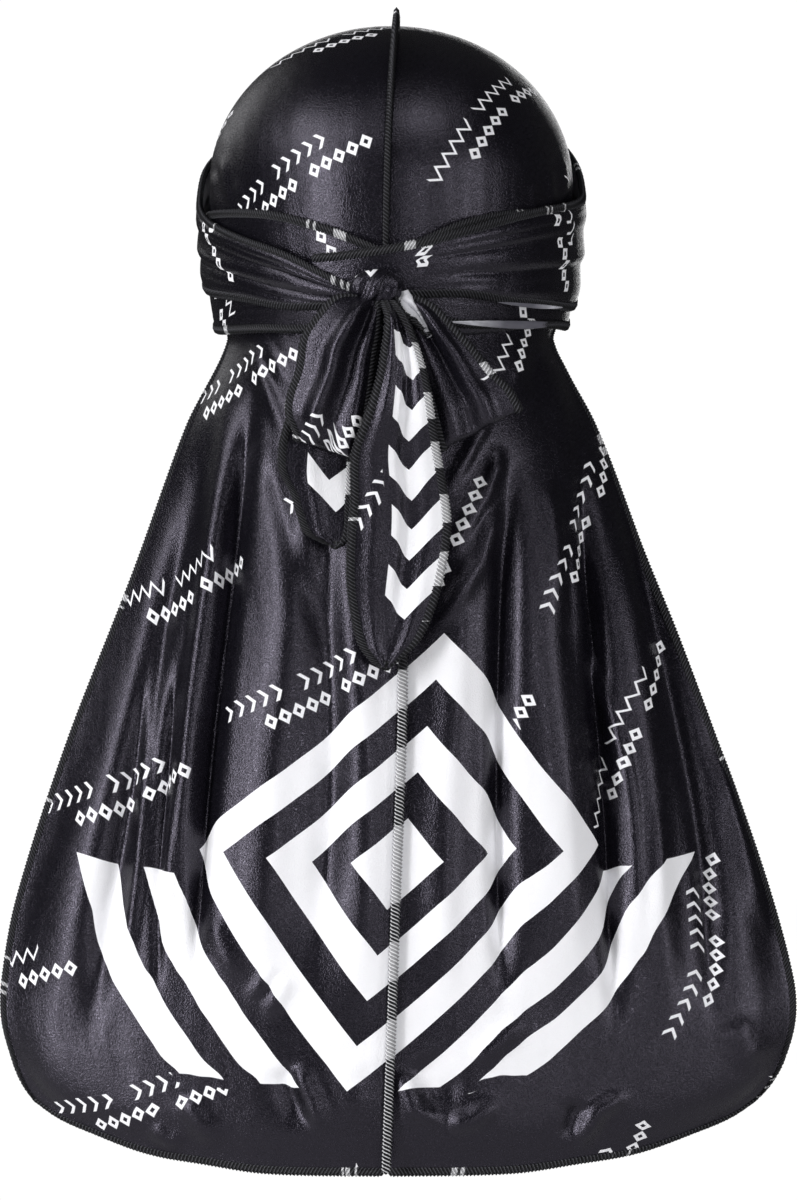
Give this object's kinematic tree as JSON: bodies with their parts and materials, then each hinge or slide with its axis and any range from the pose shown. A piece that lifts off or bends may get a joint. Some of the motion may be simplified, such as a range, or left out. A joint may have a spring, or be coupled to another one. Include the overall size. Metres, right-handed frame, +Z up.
{
  "type": "durag",
  "caption": "Tied head wrap of satin: a tight crown with a raised centre seam, a long wide cape, and two ties wound round the head and knotted in a bow at the back.",
  "frame": {"origin": "centre of the head opening, at the level of the ties' lower edge; a head fills the crown above it", "axes": "+Y the way the wearer faces, +X to the wearer's right, +Z up; the bow and the cape are at -Y"},
  "size_m": [0.3474, 0.226, 0.5105],
  "materials": {
    "satin": "black satin with a soft sheen and a printed white pattern",
    "overlock": "overlocked edge in dark thread with light print showing in it"
  },
  "bodies": {
    "root": {"panel_left": "satin", "panel_right": "satin", "centre_seam": "overlock", "tie_left": "satin", "tie_right": "satin", "knot": "satin", "loop_left": "satin", "loop_right": "satin", "end_left": "satin", "end_centre": "satin"}
  },
  "joints": []
}
